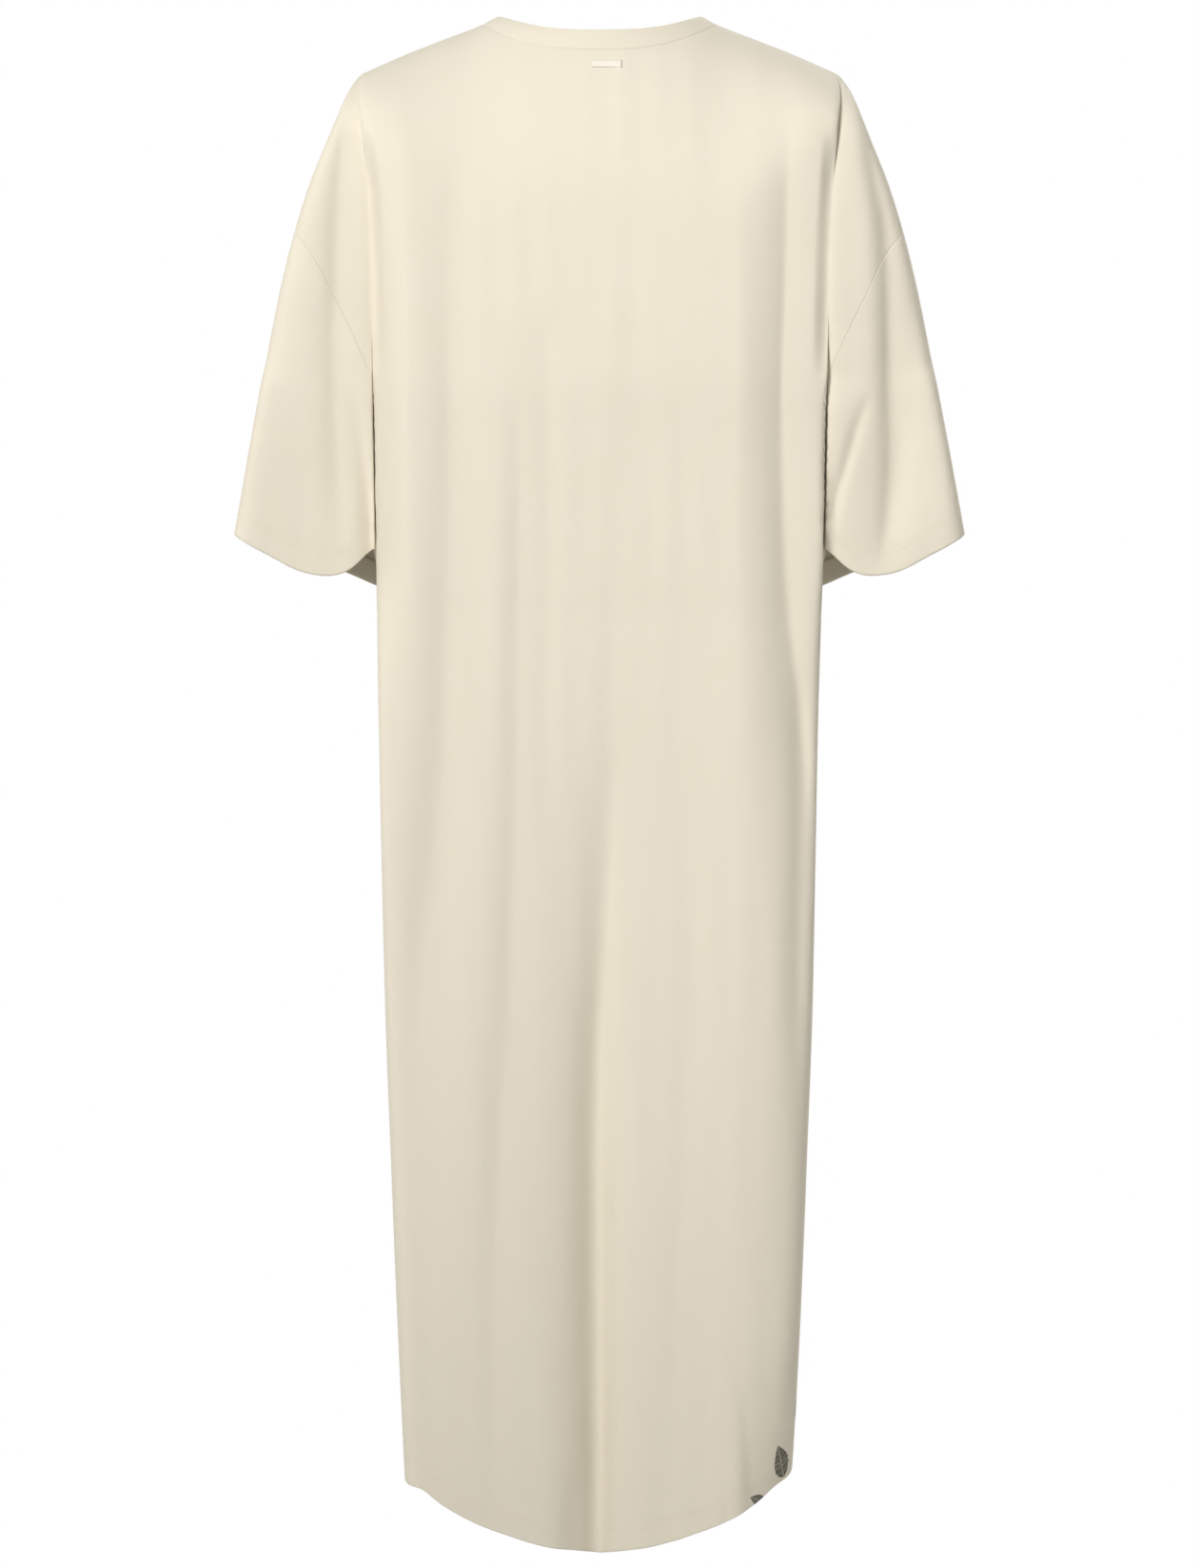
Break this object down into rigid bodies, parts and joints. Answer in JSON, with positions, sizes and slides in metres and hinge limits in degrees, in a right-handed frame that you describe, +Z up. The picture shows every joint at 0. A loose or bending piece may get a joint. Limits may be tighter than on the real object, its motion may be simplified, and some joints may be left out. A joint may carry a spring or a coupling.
{
  "type": "t-shirt dress",
  "caption": "Oversized mid-calf T-shirt dress in cream jersey, filled out with no wearer: crew neck, dropped shoulders, elbow-length sleeves and a hollow, open body.",
  "frame": {"origin": "3 mm above midway between the two points where the shoulder seams meet the neckline, where a wearer's shoulders carry the dress", "axes": "+Z up, -Y the front of the dress, +X towards the wearer's left"},
  "size_m": [0.5924, 0.2504, 1.2595],
  "materials": {
    "jersey": "matte cotton jersey, cream",
    "rib": "matte fine-ribbed cotton, cream",
    "bar": "smooth light tape"
  },
  "bodies": {
    "root": {"back_panel": "jersey", "front_panel": "jersey", "sleeve_left": "jersey", "sleeve_right": "jersey", "neckband": "rib", "back_neck_bar": "bar"}
  },
  "joints": []
}
